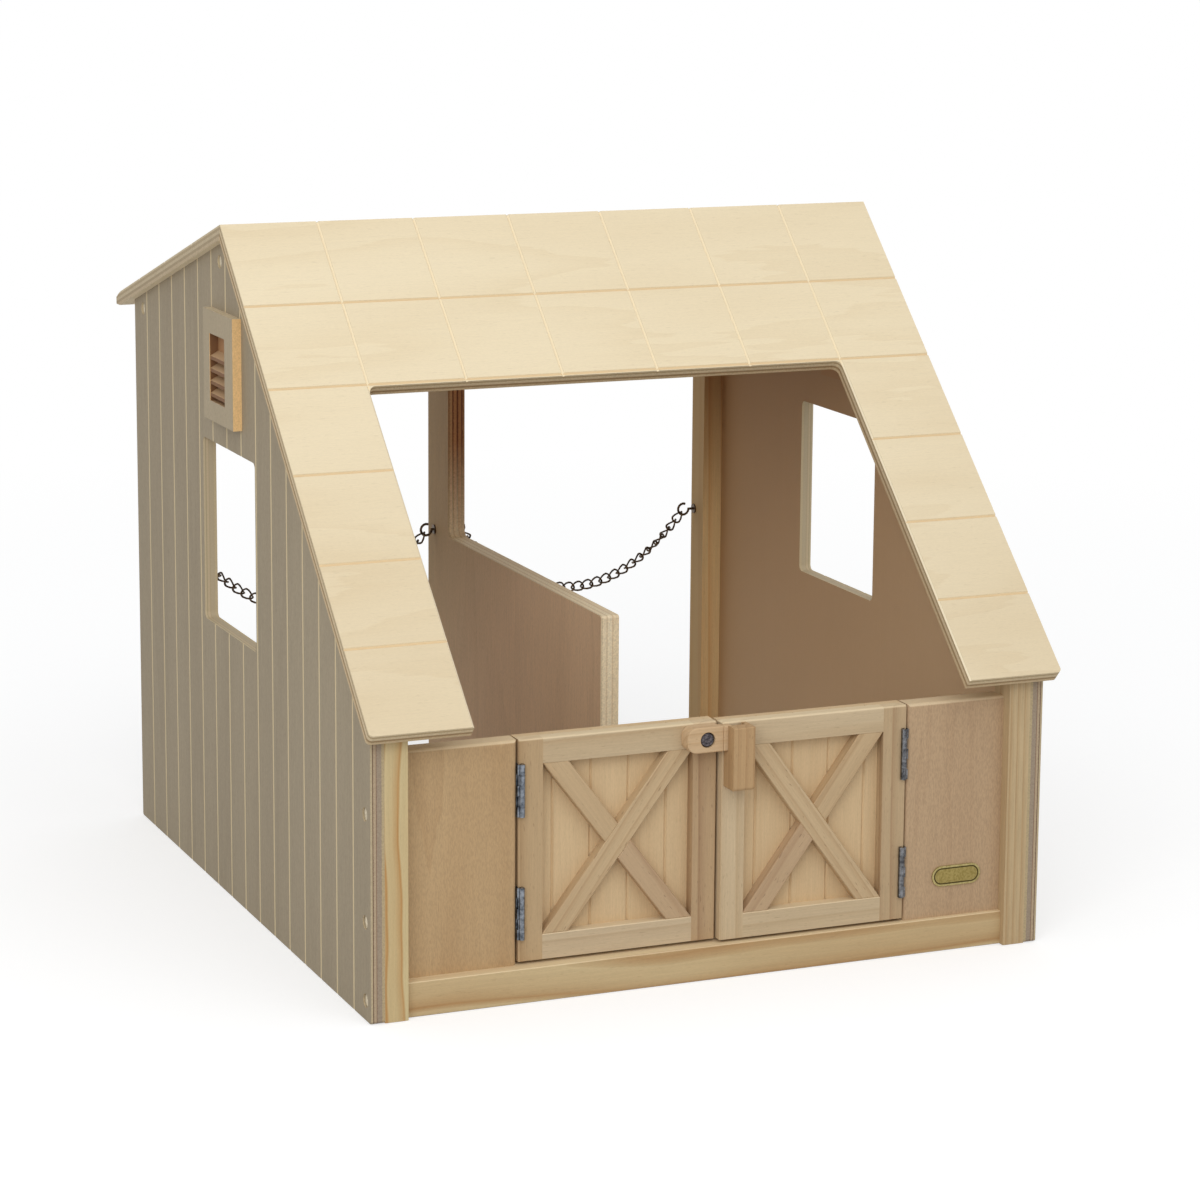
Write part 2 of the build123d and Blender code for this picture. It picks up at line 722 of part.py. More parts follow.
def gable_vent(side, name):
    with BuildPart() as vent:
        with BuildSketch(Plane.YZ.offset(side * half)):
            with Locations((wall_front + vent_middle, (vent_bottom + vent_top) / 2)):
                Rectangle(vent_width, vent_height)
            with Locations((wall_front + (louvre_front + louvre_back) / 2, (louvre_bottom + louvre_top) / 2)):
                Rectangle(louvre_back - louvre_front, louvre_top - louvre_bottom, mode=Mode.SUBTRACT)
        extrude(amount=side * vent_thickness)
        # Louvre blades lean outwards and down.
        louvre_pitch = (louvre_top - louvre_first - louvre_bottom) / louvre_count
        tip = side * (half + vent_thickness - edge_break)
        with BuildSketch(Plane.XZ.offset(-(wall_front + louvre_back))):
            for k in range(louvre_count):
                top = louvre_top - louvre_first - k * louvre_pitch
                with BuildLine():
                    Polyline(
                        (side * half, top),
                        (side * half, top - louvre_thickness),
                        (tip, top - louvre_thickness - vent_thickness / 2),
                        (tip, top - vent_thickness / 2),
                        close=True,
                    )
                make_face()
        extrude(amount=louvre_back - louvre_front)
    vent.part.label = name
    export_step(vent.part, f"parts/{name}.step")


gable_vent(-1, "left_gable_vent")
gable_vent(1, "right_gable_vent")


# ---- cup hooks, screw eyes and chains ---------------------------------------------------------
def hook(face, direction, reach, height, loop_angle, name):
    """Wire bent to a loop in front of a face that looks along direction in X, with a flange on the face."""
    centre_x = face + direction * reach
    y = hook_line
    with BuildPart() as piece:
        with BuildSketch(Plane(origin=(face, y, height), z_dir=(direction, 0, 0))):
            RegularPolygon(hook_flange, head_sides)
        extrude(amount=hook_wire)
        # The wire leaves the timber level, then runs down, round and up again.
        bends = []
        for k in range(loop_bends + 1):
            turn = radians(loop_angle * k / loop_bends)
            outward = direction * hook_radius * cos(turn)
            bends.append((centre_x - outward, y, height - hook_radius * sin(turn)))
        with BuildLine() as wire:
            Polyline((face - direction * hook_shank, y, height), *bends)
        with BuildSketch(Plane(origin=wire.line @ 0, z_dir=(direction, 0, 0))):
            RegularPolygon(hook_wire, hook_wire_sides)
        sweep(path=wire.wires()[0], transition=Transition.RIGHT)
    piece.part.label = name
    export_step(piece.part, f"parts/{name}.step")


hook(-post_inner, 1, post_hook_reach, post_hook_height, eye_sweep, "left_stall_screw_eye")
hook(
    -divider_thickness / 2, -1, divider_hook_reach, divider_hook_height, cup_sweep, "left_stall_cup_hook"
)
hook(
    divider_thickness / 2, 1, divider_hook_reach, divider_hook_height, eye_sweep, "right_stall_screw_eye"
)
hook(post_inner, -1, post_hook_reach, post_hook_height, cup_sweep, "right_stall_cup_hook")


def catenary(span_length, sag):
    """Catenary constant for a chain that hangs by sag over a level span."""
    low, high = sag / 10, 100 * span_length
    for _ in range(80):
        middle = (low + high) / 2
        if middle * (cosh(span_length / 2 / middle) - 1) > sag:
            low = middle
        else:
            high = middle
    return middle


def chain_link(inner_length):
    """Curb link, long along X: wire round a loop of eight bends that twists from end to end."""
    tip = inner_length / 2 + link_wire
    bend = link_inside / 2 + link_wire
    shoulder = tip - bend
    outline = [(shoulder, -bend), (tip, -bend / 2), (tip, bend / 2), (shoulder, bend)]
    outline += [(-x, -y) for x, y in outline]
    loop = []
    upright = []
    for x, y in outline:
        turn = -link_twist / 2 * x / tip
        loop.append(Vector(x, y, 0).rotate(Axis.X, turn))
        upright.append(Vector(0, 0, 1).rotate(Axis.X, turn))
    # Four-sided wire: four corners at each bend, and flat triangles from one bend to the next.
    rings = []
    for k in range(len(loop)):
        ahead = loop[(k + 1) % len(loop)] - loop[k - 1]
        section = Plane(origin=loop[k], x_dir=upright[k], z_dir=ahead)
        corners = [(link_wire, 0), (0, link_wire), (-link_wire, 0), (0, -link_wire)]
        rings.append([section.from_local_coords(corner) for corner in corners])
    faces = []
    for k in range(len(rings)):
        for j in range(4):
            near, next_near = rings[k - 1][j - 1], rings[k - 1][j]
            far, next_far = rings[k][j - 1], rings[k][j]
            faces.append(Face(Wire.make_polygon([near, next_near, next_far])))
            faces.append(Face(Wire.make_polygon([near, next_far, far])))
    return Solid(Shell(faces))


def chain(left_hook, right_hook, name):
    """Curb chain on a catenary between the middles of two hooks' loops."""
    line = Edge.make_line(left_hook, right_hook)
    chord = Plane(origin=line @ 0.5, x_dir=line % 0.5, z_dir=(0, -1, 0))
    constant = catenary(line.length, chain_sag)
    hanging_length = 2 * constant * sinh(line.length / 2 / constant)
    linked_length = hanging_length - 2 * (hook_radius - hook_wire)
    count = round(linked_length / link_pitch)
    pitch = linked_length / count
    link = chain_link(pitch + link_play)
    places = []
    for k in range(count):
        slope = ((k + 0.5) * pitch - linked_length / 2) / constant
        below = chain_sag - constant * (sqrt(1 + slope * slope) - 1)
        direction = Vector(1, slope, 0)
        # The links lie open in the middle and turn faster and faster towards the hooks.
        share = (2 * k + 1 - count) / (count - 1)
        roll = chain_roll / 2 * share * abs(share)
        normal = Vector(0, 0, 1).rotate(Axis((0, 0, 0), direction), roll)
        place = Plane(origin=(constant * asinh(slope), -below, 0), x_dir=direction, z_dir=normal)
        places.append(chord.location * place.location)
    with BuildPart() as hanging:
        with Locations(*places):
            add(link)
    hanging.part.label = name
    export_step(hanging.part, f"parts/{name}.step")


chain(
    (-post_inner + post_hook_reach, hook_line, post_hook_height),
    (-divider_thickness / 2 - divider_hook_reach, hook_line, divider_hook_height),
    "left_stall_chain",
)
chain(
    (divider_thickness / 2 + divider_hook_reach, hook_line, divider_hook_height),
    (post_inner - post_hook_reach, hook_line, post_hook_height),
    "right_stall_chain",
)
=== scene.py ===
from math import atan2, cos, pi, radians, sin

import bpy
import bmesh
from mathutils import Matrix, Vector


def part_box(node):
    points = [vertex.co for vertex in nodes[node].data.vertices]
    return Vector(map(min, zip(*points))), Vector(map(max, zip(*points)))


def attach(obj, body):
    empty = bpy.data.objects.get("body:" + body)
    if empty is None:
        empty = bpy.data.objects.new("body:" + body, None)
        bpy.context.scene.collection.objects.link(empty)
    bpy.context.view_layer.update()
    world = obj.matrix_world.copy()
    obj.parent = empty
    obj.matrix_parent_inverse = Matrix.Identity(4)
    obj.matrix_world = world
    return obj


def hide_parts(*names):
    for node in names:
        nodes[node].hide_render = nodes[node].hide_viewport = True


# Unpainted toy stable: birch plywood roof and walls, pine posts and doors,
# zinc hinges, a bronzed chain across each stall and a blank brass plate.

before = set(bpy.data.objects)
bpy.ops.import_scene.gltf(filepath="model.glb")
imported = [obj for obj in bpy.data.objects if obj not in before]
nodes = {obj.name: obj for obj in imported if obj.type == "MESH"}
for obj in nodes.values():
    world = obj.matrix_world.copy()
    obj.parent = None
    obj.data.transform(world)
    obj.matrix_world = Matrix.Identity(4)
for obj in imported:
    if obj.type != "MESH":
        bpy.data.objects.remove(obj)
bpy.ops.object.select_all(action="DESELECT")
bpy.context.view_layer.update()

MM = 0.001
HAIR = 1e-6                       # closer than this, two points are in one place
WHITE = (1, 1, 1, 1)

# ---- camera --------------------------------------------------------------------
picture_size, focal_length, lens_shift = 1200, 3582.8, -100      # in pixels
sensor_width = 36
camera_place = Vector((-0.90438, -2.22010, 0.70738))
yaw, pitch, roll = radians(22.7964), radians(-10.5269), radians(0.4265)
ahead = Vector((sin(yaw) * cos(pitch), cos(yaw) * cos(pitch), sin(pitch)))
across = Vector((cos(yaw), -sin(yaw), 0))
upward = across.cross(ahead)
tilted_across = across * cos(roll) + upward * sin(roll)
tilted_upward = upward * cos(roll) - across * sin(roll)
camera_data = bpy.data.cameras.new("camera")
camera_data.sensor_width = sensor_width
camera_data.lens = focal_length / picture_size * sensor_width
camera_data.shift_y = lens_shift / picture_size
camera_data.clip_start, camera_data.clip_end = 0.05, 100
camera = bpy.data.objects.new("camera", camera_data)
stand = Matrix((tilted_across, tilted_upward, -ahead)).transposed().to_4x4()
stand.translation = camera_place
camera.matrix_world = stand
bpy.context.scene.collection.objects.link(camera)
bpy.context.scene.camera = camera
bpy.context.scene.view_settings.view_transform = "Standard"

# ---- studio --------------------------------------------------------------------


def softbox(name, place, aim, size, power):
    """Square lamp that the camera doesn't see; size in metres, power in watts."""
    lamp = bpy.data.lights.new(name, "AREA")
    lamp.shape, lamp.size, lamp.energy = "SQUARE", size, power
    lamp_object = bpy.data.objects.new(name, lamp)
    lamp_object.location = place
    lamp_object.rotation_euler = (Vector(aim) - Vector(place)).to_track_quat("-Z", "Y").to_euler()
    lamp_object.visible_camera = False
    bpy.context.scene.collection.objects.link(lamp_object)


lit_point = (0, 0, 0.2)
softbox("overhead_softbox", (0.15, -1.9, 2.5), lit_point, size=2.4, power=17)
softbox("left_softbox", (-1.6, -2.0, 1.4), lit_point, size=1.4, power=18)

world = bpy.context.scene.world or bpy.data.worlds.new("studio")
bpy.context.scene.world = world
world.use_nodes = True
sky_tree = world.node_tree
sky_tree.nodes.clear()
sky_light = sky_tree.nodes.new("ShaderNodeBackground")
sky_light.inputs["Color"].default_value = (0.98, 0.99, 1, 1)
sky_light.inputs["Strength"].default_value = 0.69
sky_seen = sky_tree.nodes.new("ShaderNodeBackground")
sky_seen.inputs["Color"].default_value = WHITE
sky_seen.inputs["Strength"].default_value = 1
rays = sky_tree.nodes.new("ShaderNodeLightPath")
seen = sky_tree.nodes.new("ShaderNodeMath")
seen.operation = "MAXIMUM"
sky = sky_tree.nodes.new("ShaderNodeMixShader")
sky_out = sky_tree.nodes.new("ShaderNodeOutputWorld")
sky_tree.links.new(rays.outputs["Is Camera Ray"], seen.inputs[0])
sky_tree.links.new(rays.outputs["Is Glossy Ray"], seen.inputs[1])
sky_tree.links.new(seen.outputs[0], sky.inputs[0])
sky_tree.links.new(sky_light.outputs[0], sky.inputs[1])
sky_tree.links.new(sky_seen.outputs[0], sky.inputs[2])
sky_tree.links.new(sky.outputs[0], sky_out.inputs["Surface"])


# ---- shading helpers --------------------------------------------------------------
def dye(red, green, blue):
    """Linear colour of display values from 0 to 255."""
    shares = (value / 255 for value in (red, green, blue))
    return tuple(
        share / 12.92 if share < 0.04 else ((share + 0.055) / 1.055) ** 2.4 for share in shares
    ) + (1,)


def new_finish(name):
    finish = bpy.data.materials.new(name)
    finish.use_nodes = True
    return finish


def add(finish, kind, **values):
    """New shader node; each value goes to the socket of that name, such as To_Min."""
    made = finish.node_tree.nodes.new("ShaderNode" + kind)
    for socket, value in values.items():
        made.inputs[socket.replace("_", " ").title()].default_value = value
    return made


def join(finish, source, target):
    finish.node_tree.links.new(source, target)


def body_of(finish):
    return finish.node_tree.nodes["Principled BSDF"]


def ramp(finish, source, *stops):
    """Colours or greys along a value; each stop is (place, colour)."""
    made = add(finish, "ValToRGB")
    marks = made.color_ramp.elements
    while len(marks) < len(stops):
        marks.new(0.5)
    for mark, (place, colour) in zip(marks, stops):
        mark.position = place
        mark.color = colour if hasattr(colour, "__len__") else (colour, colour, colour, 1)
    join(finish, source, made.inputs["Fac"])
    return made.outputs["Color"]


def blend_colours(finish, amount, first, second, way="MIX"):
    """Mix of two colours; amount, first and second are numbers, colours or outputs."""
    made = add(finish, "Mix")
    made.data_type, made.blend_type = "RGBA", way
    for socket, value in ((0, amount), (6, first), (7, second)):
        if isinstance(value, bpy.types.NodeSocket):
            join(finish, value, made.inputs[socket])
        else:
            made.inputs[socket].default_value = value
    return made.outputs[2]


def sum_of(finish, way, first, second=0.5, third=None):
    """Result of a sum, such as ADD or COMPARE, on numbers or outputs."""
    made = add(finish, "Math")
    made.operation = way
    for socket, value in enumerate((first, second, third)):
        if isinstance(value, bpy.types.NodeSocket):
            join(finish, value, made.inputs[socket])
        elif value is not None:
            made.inputs[socket].default_value = value
    return made.outputs[0]


def stretched_noise(finish, along, size, length, detail=2, roughness=0.5):
    """Noise drawn out along the grain, which is the local Z of along; sizes in metres."""
    drawn = add(finish, "Mapping", Scale=(1, 1, size / length))
    join(finish, along, drawn.inputs["Vector"])
    noise = add(finish, "TexNoise", Scale=1 / size, Detail=detail, Roughness=roughness)
    join(finish, drawn.outputs[0], noise.inputs["Vector"])
    return noise.outputs["Fac"]


def share_along(finish, output, direction):
    """How far a vector output reaches along a direction."""
    place = add(finish, "TexCoord")
    made = add(finish, "VectorMath")
    made.operation = "DOT_PRODUCT"
    made.inputs[1].default_value = direction
    join(finish, place.outputs[output], made.inputs[0])
    return made.outputs["Value"]


def facing(finish, direction, low=0.75, high=0.85):
    """1 on faces that look along direction, either way."""
    return ramp(
        finish,
        sum_of(finish, "ABSOLUTE", share_along(finish, "Normal", direction)),
        (low, 0.0),
        (high, 1.0),
    )


def outward(finish, direction):
    """1 on faces that look along direction, 0 on those that look the other way."""
    return ramp(finish, share_along(finish, "Normal", direction), (0.3, 0.0), (0.5, 1.0))


def rise(finish, direction, start, end):
    """0 before start to 1 after end, in metres along a direction."""
    past_start = sum_of(finish, "SUBTRACT", share_along(finish, "Object", direction), start)
    return ramp(finish, sum_of(finish, "DIVIDE", past_start, end - start), (0.0, 0.0), (1.0, 1.0))


def colour_source(finish):
    return body_of(finish).inputs["Base Color"].links[0].from_socket


def recolour(finish, colour):
    join(finish, colour, body_of(finish).inputs["Base Color"])


def multiplied(finish, colour, shade):
    """A colour toned down by a shade."""
    return blend_colours(finish, 1.0, colour, shade, "MULTIPLY")


def tint(finish, where, colour):
    """Lays a colour over the finish, by a mask or a share from 0 to 1."""
    recolour(finish, blend_colours(finish, where, colour_source(finish), colour))


def paint_light_on_tops(finish, amount=0.45):
    """Painted light: faces that look up are blended towards a pale colour, as if lit from above."""
    top = outward(finish, (0, 0, 1))
    tint(finish, sum_of(finish, "MULTIPLY", top, amount), dye(244, 224, 186))
    return finish


GRAIN_TURNS = {"X": (0, -pi / 2, 0), "Y": (pi / 2, 0, 0), "Z": (0, 0, 0)}


def grain_line(finish, grain, shift):
    """Coordinates whose Z runs along the grain; shift moves the pattern, in metres."""
    place = add(finish, "TexCoord")
    turned = add(
        finish,
        "Mapping",
        Rotation=GRAIN_TURNS[grain] if isinstance(grain, str) else grain,
        Location=shift,
    )
    join(finish, place.outputs["Object"], turned.inputs["Vector"])
    return turned.outputs[0]


def fibre_coat(finish, along, colour, deep, fibre, speckle, fleck):
    """Adds long fine fibre, dense short speckle and sparse flecks, with their relief and sheen."""
    dark = tuple(value * 0.6 for value in deep[:3]) + (1,)
    fine = stretched_noise(finish, along, 0.0009, 0.03, 2, 0.6)
    dense = stretched_noise(finish, along, 0.0006, 0.0024, 1, 0.5)
    short = stretched_noise(finish, along, 0.0010, 0.0065, 1, 0.5)
    colour = multiplied(finish, colour, ramp(finish, fine, (0.3, 1 - fibre), (0.7, 1.0)))
    colour = multiplied(finish, colour, ramp(finish, dense, (0.35, 1 - speckle), (0.6, 1.0)))
    flecks = ramp(finish, short, (0.66, 0.0), (0.74, 1.0))
    colour = blend_colours(finish, sum_of(finish, "MULTIPLY", flecks, fleck), colour, dark)
    recolour(finish, colour)
    shell = body_of(finish)
    sheen = add(finish, "MapRange", To_Min=0.55, To_Max=0.75)
    join(finish, fine, sheen.inputs["Value"])
    join(finish, sheen.outputs[0], shell.inputs["Roughness"])
    shell.inputs["Specular IOR Level"].default_value = 0.2
    bump = add(finish, "Bump", Strength=0.2, Distance=0.0003)
    join(finish, sum_of(finish, "SUBTRACT", fine, flecks), bump.inputs["Height"])
    join(finish, bump.outputs[0], shell.inputs["Normal"])
    return finish


def veneer(
    name,
    pale,
    deep,
    grain="Z",
    figure=0.5,
    size=0.05,
    length=0.35,
    bands=4,
    fibre=0.08,
    speckle=0.08,
    fleck=0.3,
    shift=(0, 0, 0),
):
    """Sheet peeled from a log: soft contour-like figure over broad tone."""
    finish = new_finish(name)
    along = grain_line(finish, grain, shift)
    broad = stretched_noise(finish, along, size, length, 1, 0.4)
    ripple = stretched_noise(finish, along, size / 9, length / 5, 2, 0.5)
    waved = sum_of(finish, "MULTIPLY_ADD", ripple, 0.12, broad)
    contour = sum_of(finish, "FRACT", sum_of(finish, "MULTIPLY", waved, bands), 0)
    lines = ramp(finish, contour, (0.0, 0.0), (0.6, 0.25), (0.9, 0.8), (0.97, 1.0), (1.0, 0.1))
    tone = ramp(finish, broad, (0.3, 0.0), (0.7, 1.0))
    amount = sum_of(finish, "MULTIPLY", sum_of(finish, "ADD", lines, tone), figure * 0.5)
    colour = blend_colours(finish, amount, pale, deep)
    return fibre_coat(finish, along, colour, deep, fibre, speckle, fleck)


def timber(
    name,
    pale,
    deep,
    grain="Z",
    heart=(0.05, 0.03),
    ring=0.006,
    figure=0.6,
    wander=2.0,
    lean=(1.2, 0.9),
    fibre=0.1,
    speckle=0.04,
    fleck=0.3,
    shift=0.0,
    late=0.82,
    drift=0.12,
):
    """Sawn softwood: growth rings round a heart line that leans across the piece."""
    finish = new_finish(name)
    along = grain_line(finish, grain, (-heart[0], -heart[1], shift))
    leaning = add(
        finish, "Mapping", Rotation=(radians(lean[0]), radians(lean[1]), 0), Scale=(1, 1, drift)
    )
    join(finish, along, leaning.inputs["Vector"])
    rings = add(
        finish,
        "TexWave",
        Scale=0.314 / ring,
        Distortion=wander,
        Detail=2,
        Detail_Scale=0.5,
        Detail_Roughness=0.45,
    )
    rings.wave_type, rings.rings_direction, rings.wave_profile = "RINGS", "Z", "SAW"
    join(finish, leaning.outputs[0], rings.inputs["Vector"])
    growth = ramp(
        finish,
        rings.outputs["Fac"],
        (0, 0.0),
        (late - 0.32, 0.12),
        (late, 0.6),
        (late + 0.1, 1.0),
        (1.0, 0.2),
    )
    broad = stretched_noise(finish, along, 0.03, 0.25)
    tone = sum_of(finish, "MULTIPLY", ramp(finish, broad, (0.35, 0.0), (0.68, 1.0)), 0.3)
    colour = blend_colours(finish, sum_of(finish, "MULTIPLY_ADD", growth, figure, tone), pale, deep)
    return fibre_coat(finish, along, colour, deep, fibre, speckle, fleck)


def layered(
    finish, surface, direction, thickness, layers, fresh=None, upper_layers=None, change=(0, 1)
):
    """Shows the glued layers of a board on its edges, and fresh wood in its grooves."""
    start = Vector(surface).dot(Vector(direction))
    from_face = sum_of(finish, "SUBTRACT", share_along(finish, "Object", direction), start)
    deep = sum_of(finish, "DIVIDE", from_face, thickness)
    place = add(finish, "TexCoord")
    rough = add(finish, "TexNoise", Scale=900, Detail=1)
    join(finish, place.outputs["Object"], rough.inputs["Vector"])
    uneven = sum_of(
        finish, "MULTIPLY_ADD", rough.outputs["Fac"], 0.04, sum_of(finish, "SUBTRACT", deep, 0.02)
    )

    def stack(glued):
        stops = []
        for from_depth, to_depth, colour in glued:
            stops += [(from_depth + 0.01, colour), (to_depth - 0.01, colour)]
        return ramp(finish, uneven, *stops)

    edge = stack(layers)
    if upper_layers:
        upper = sum_of(
            finish, "MULTIPLY", rise(finish, (0, 0, 1), *change), outward(finish, (0, -1, 0))
        )
        edge = blend_colours(finish, upper, edge, stack(upper_layers))
    edge = multiplied(finish, edge, ramp(finish, rough.outputs["Fac"], (0.3, 0.84), (0.7, 1.03)))
    colour = blend_colours(finish, facing(finish, direction), edge, colour_source(finish))
    if fresh:
        cut = ramp(finish, deep, (0.012, 0.0), (0.03, 1.0), (0.15, 1.0), (0.17, 0.0))
        slanted = sum_of(finish, "MULTIPLY", cut, facing(finish, direction, 0.3, 0.5))
        slanted = sum_of(finish, "SUBTRACT", slanted, facing(finish, direction, 0.97, 0.99))
        colour = blend_colours(finish, slanted, colour, fresh)
    recolour(finish, colour)
    return finish


def coat(name, finish):
    """Gives a piece of the frame its finish."""
    nodes[name].data.materials.clear()
    nodes[name].data.materials.append(finish)


# ---- plywood -------------------------------------------------------------------
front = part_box("left_side_wall")[0].y          # the walls' front edges
half_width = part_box("right_side_wall")[1].x
ply = 9 * MM
front_pitch, back_pitch = radians(43), radians(16.4)
ridge_depth, ridge_height = 278.4 * MM, 456.1 * MM
ridge = Vector((0, front + ridge_depth, ridge_height))
eaves_shade_full_below, eaves_shade_none_above = 0.22, 0.37              # heights, in metres

birch_layers = (
    (0.00, 0.14, dye(224, 206, 170)),
    (0.14, 0.30, dye(184, 160, 124)),
    (0.30, 0.56, dye(218, 198, 162)),
    (0.56, 0.76, dye(164, 136, 100)),
    (0.76, 1.00, dye(208, 184, 146)),
)
soft_layers = (
    (0.00, 0.14, dye(212, 194, 160)),
    (0.14, 0.34, dye(184, 164, 132)),
    (0.34, 0.56, dye(202, 184, 152)),
    (0.56, 0.76, dye(176, 156, 126)),
    (0.76, 1.00, dye(196, 176, 144)),
)
roof_birch = veneer(
    "roof_birch",
    dye(240, 224, 191),
    dye(220, 197, 157),
    "X",
    figure=0.42,
    size=0.06,
    length=0.30,
    bands=5,
    fibre=0.03,
    speckle=0.03,
    fleck=0.12,
)
# Painted shade: the roof's front panel turns duller towards its eaves, from 0.37 m high down to
# 0.22 m.
painted_eaves_shade = multiplied(roof_birch, colour_source(roof_birch), dye(244, 242, 240))
towards_eaves = rise(roof_birch, (0, 0, -1), -eaves_shade_none_above, -eaves_shade_full_below)
tint(roof_birch, towards_eaves, painted_eaves_shade)
sawn_grooves = blend_colours(
    roof_birch, facing(roof_birch, (1, 0, 0), 0.2, 0.35), dye(230, 207, 168), dye(242, 227, 196)
)
layered(
    roof_birch, ridge, (0, sin(front_pitch), -cos(front_pitch)), ply, birch_layers, sawn_grooves
)
coat("roof_front_panel", roof_birch)
roof_birch_back = veneer(
    "roof_birch_back",
    dye(238, 222, 190),
    dye(218, 196, 158),
    "X",
    figure=0.42,
    size=0.07,
    length=0.32,
    bands=5,
    fibre=0.03,
    speckle=0.03,
    fleck=0.12,
    shift=(0.3, 0.1, 0.2),
)
layered(
    roof_birch_back,
    ridge,
    (0, -sin(back_pitch), -cos(back_pitch)),
    ply,
    soft_layers,
    dye(242, 228, 198),
)
coat("roof_back_panel", roof_birch_back)

wall_layers = (
    (0.00, 0.15, dye(192, 174, 142)),
    (0.15, 0.21, dye(104, 78, 58)),
    (0.21, 0.40, dye(184, 162, 134)),
    (0.40, 0.45, dye(134, 104, 82)),
    (0.45, 0.80, dye(162, 145, 125)),
    (0.80, 1.00, dye(186, 166, 130)),
)
# Painted light: the walls' inner faces are blended towards this paler, warmer colour, standing in
# for light bounced about inside the stalls.
inside_painted_light = dye(216, 180, 138)
vent_low, vent_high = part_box("left_gable_vent")
vent_margin = 6 * MM


def behind_slats(finish):
    """1 inside the opening of a gable vent, seen from the side."""
    inside_opening = 1.0
    for direction, low, high in (
        ((0, 1, 0), vent_low.y, vent_high.y),
        ((0, 0, 1), vent_low.z, vent_high.z),
    ):
        reach = share_along(finish, "Object", direction)
        near_middle = sum_of(
            finish, "COMPARE", reach, (low + high) / 2, (high - low) / 2 - vent_margin
        )
        inside_opening = sum_of(finish, "MULTIPLY", near_middle, inside_opening)
    return inside_opening


for side, name in ((-1, "left_side_wall"), (1, "right_side_wall")):
    wall_ply = veneer(
        name + "_ply",
        dye(172, 157, 132),
        dye(150, 135, 112),
        "Z",
        figure=0.4,
        size=0.05,
        length=0.5,
        bands=3,
        fibre=0.14,
        speckle=0.10,
        fleck=0.25,
        shift=(side * 0.2, 0, 0),
    )
    # Painted shade: the wall turns brown where it shows between the gable vent's slats.
    face_with_slot_shade = blend_colours(
        wall_ply, behind_slats(wall_ply), colour_source(wall_ply), dye(168, 126, 88)
    )
    # Painted light on the inner face, then painted shade that darkens it towards the top and back.
    inside = blend_colours(wall_ply, 0.75, face_with_slot_shade, inside_painted_light)
    shaded = multiplied(wall_ply, inside, dye(216, 198, 178))
    inside = blend_colours(wall_ply, rise(wall_ply, (0, 0.45, 0.9), 0.10, 0.42), inside, shaded)
    recolour(wall_ply, blend_colours(wall_ply, outward(wall_ply, (side, 0, 0)), inside, face_with_slot_shade))
    layered(
        wall_ply, (side * half_width, 0, 0), (-side, 0, 0), ply, wall_layers, dye(204, 186, 150)
    )
    behind_front = rise(wall_ply, (0, 1, 0), front + 20 * MM, front + 30 * MM)
    on_edge = sum_of(wall_ply, "SUBTRACT", 1.0, facing(wall_ply, (1, 0, 0)))
    window_edge = sum_of(wall_ply, "MULTIPLY", behind_front, on_edge)
    tint(wall_ply, sum_of(wall_ply, "MULTIPLY", window_edge, 0.55), dye(220, 204, 168))
    coat(name, wall_ply)

divider_ply = veneer(
    "divider_ply",
    dye(236, 202, 164),
    dye(214, 180, 144),
    "Z",
    figure=0.45,
    size=0.05,
    length=0.5,
    bands=3,
    fibre=0.12,
    speckle=0.09,
    fleck=0.25,
    shift=(0, 0.4, 0),
)
divider_layers = (
    (0.00, 0.10, dye(226, 206, 170)),
    (0.10, 0.30, dye(248, 230, 196)),
    (0.30, 0.38, dye(234, 212, 174)),
    (0.38, 0.62, dye(250, 233, 200)),
    (0.62, 0.69, dye(232, 208, 170)),
    (0.69, 1.00, dye(246, 226, 190)),
)
# The upper part of the divider's front edge: red-brown heartwood stripes, made darker still as
# painted shade under the roof.
heart_and_shade_layers = (
    (0.00, 0.12, dye(176, 136, 98)),
    (0.12, 0.26, dye(206, 160, 116)),
    (0.26, 0.34, dye(128, 78, 50)),
    (0.34, 0.52, dye(196, 142, 98)),
    (0.52, 0.62, dye(122, 74, 48)),
    (0.62, 0.80, dye(190, 136, 94)),
    (0.80, 0.88, dye(126, 80, 54)),
    (0.88, 1.00, dye(184, 136, 96)),
)
# Painted shade: the divider turns darker towards its upper back corner, under the roof.
painted_corner_shade = multiplied(divider_ply, colour_source(divider_ply), dye(205, 203, 188))
tint(divider_ply, rise(divider_ply, (0, 0.8, 0.6), 0.16, 0.30), painted_corner_shade)
divider_half = 6.5 * MM
layered(
    divider_ply,
    (-divider_half, 0, 0),
    (1, 0, 0),
    2 * divider_half,
    divider_layers,
    upper_layers=heart_and_shade_layers,
    change=(0.19, 0.27),
)
coat("stall_divider", divider_ply)

# ---- timber -------------------------------------------------------------------
coat(
    "front_left_post",
    timber(
        "left_post_pine",
        dye(213, 196, 151),
        dye(190, 146, 92),
        "Z",
        heart=(-0.262, front + 0.012),
        ring=0.0095,
        figure=0.85,
        wander=6,
        lean=(0.6, 1.4),
        fibre=0.08,
        fleck=0.1,
        late=0.8,
        drift=0.5,
    ),
)
coat(
    "front_right_post",
    timber(
        "right_post_pine",
        dye(204, 180, 141),
        dye(178, 142, 98),
        "Z",
        heart=(0.26, front - 0.01),
        ring=0.005,
        figure=0.6,
        wander=2.5,
        lean=(1.0, 0.8),
        fibre=0.16,
        fleck=0.15,
    ),
)
